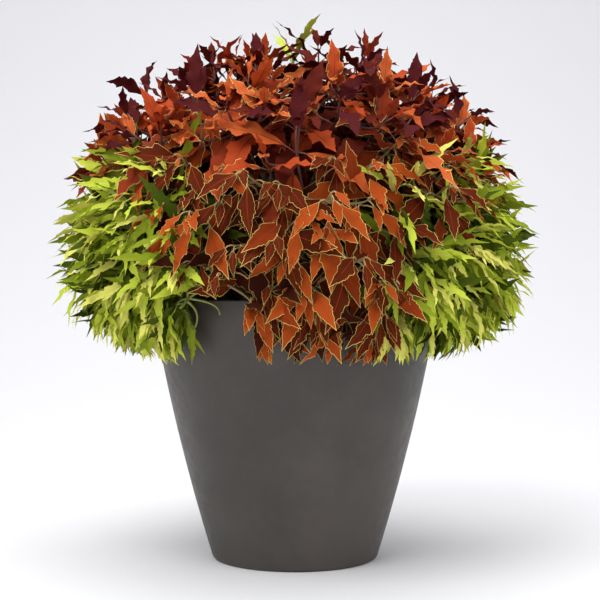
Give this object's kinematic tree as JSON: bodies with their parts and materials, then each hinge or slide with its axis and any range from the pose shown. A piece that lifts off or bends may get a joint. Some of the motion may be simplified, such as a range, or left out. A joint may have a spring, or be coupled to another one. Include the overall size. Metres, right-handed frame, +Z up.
{
  "type": "potted coleus",
  "caption": "Mounded coleus plant with red, copper and lime leaves, growing in a tall round planter that tapers to a flat base.",
  "frame": {"origin": "centre of the planter's flat underside", "axes": "+Z up along the planter's axis, -Y towards the front that the picture shows, +X to that front's right"},
  "size_m": [0.6871, 0.6791, 0.7506],
  "materials": {
    "planter": "matt charcoal brown, softly mottled",
    "potting_mix": "moist dark crumbs",
    "stem": "smooth, fleshy, pale olive to brown",
    "red_leaves": "soft leaf surface",
    "copper_leaves": "soft leaf surface",
    "lime_leaves": "soft leaf surface"
  },
  "bodies": {
    "root": {"bough_flank_2": "stem", "bough_flank_4": "stem", "bough_flank_6": "stem", "bough_flank_8": "stem", "bough_shoulder_1": "stem", "bough_shoulder_2": "stem", "bough_shoulder_3": "stem", "bough_shoulder_4": "stem", "bough_shoulder_5": "stem", "bough_shoulder_6": "stem", "bough_skirt_1": "stem", "bough_skirt_10": "stem", "bough_skirt_2": "stem", "bough_skirt_3": "stem", "bough_skirt_4": "stem", "bough_skirt_5": "stem", "bough_skirt_6": "stem", "bough_skirt_7": "stem", "bough_skirt_8": "stem", "bough_skirt_9": "stem", "foliage_flank_1": "copper_leaves", "foliage_flank_2": "copper_leaves", "foliage_flank_3": "lime_leaves", "foliage_flank_4": "lime_leaves", "foliage_flank_5": "copper_leaves", "foliage_flank_6": "copper_leaves", "foliage_flank_7": "lime_leaves", "foliage_flank_8": "lime_leaves", "foliage_shoulder_1": "red_leaves", "foliage_shoulder_2": "red_leaves", "foliage_shoulder_3": "red_leaves", "foliage_shoulder_4": "red_leaves", "foliage_shoulder_5": "red_leaves", "foliage_shoulder_6": "red_leaves", "foliage_skirt_1": "copper_leaves", "foliage_skirt_10": "lime_leaves", "foliage_skirt_2": "lime_leaves", "foliage_skirt_3": "lime_leaves", "foliage_skirt_4": "lime_leaves", "foliage_skirt_5": "lime_leaves", "foliage_skirt_6": "copper_leaves", "foliage_skirt_7": "lime_leaves", "foliage_skirt_8": "lime_leaves", "foliage_skirt_9": "lime_leaves", "foliage_top": "red_leaves", "planter": "planter", "potting_mix": "potting_mix", "stem_back": "stem", "stem_front": "stem", "stem_left": "stem", "stem_middle": "stem", "stem_right": "stem"}
  },
  "joints": []
}
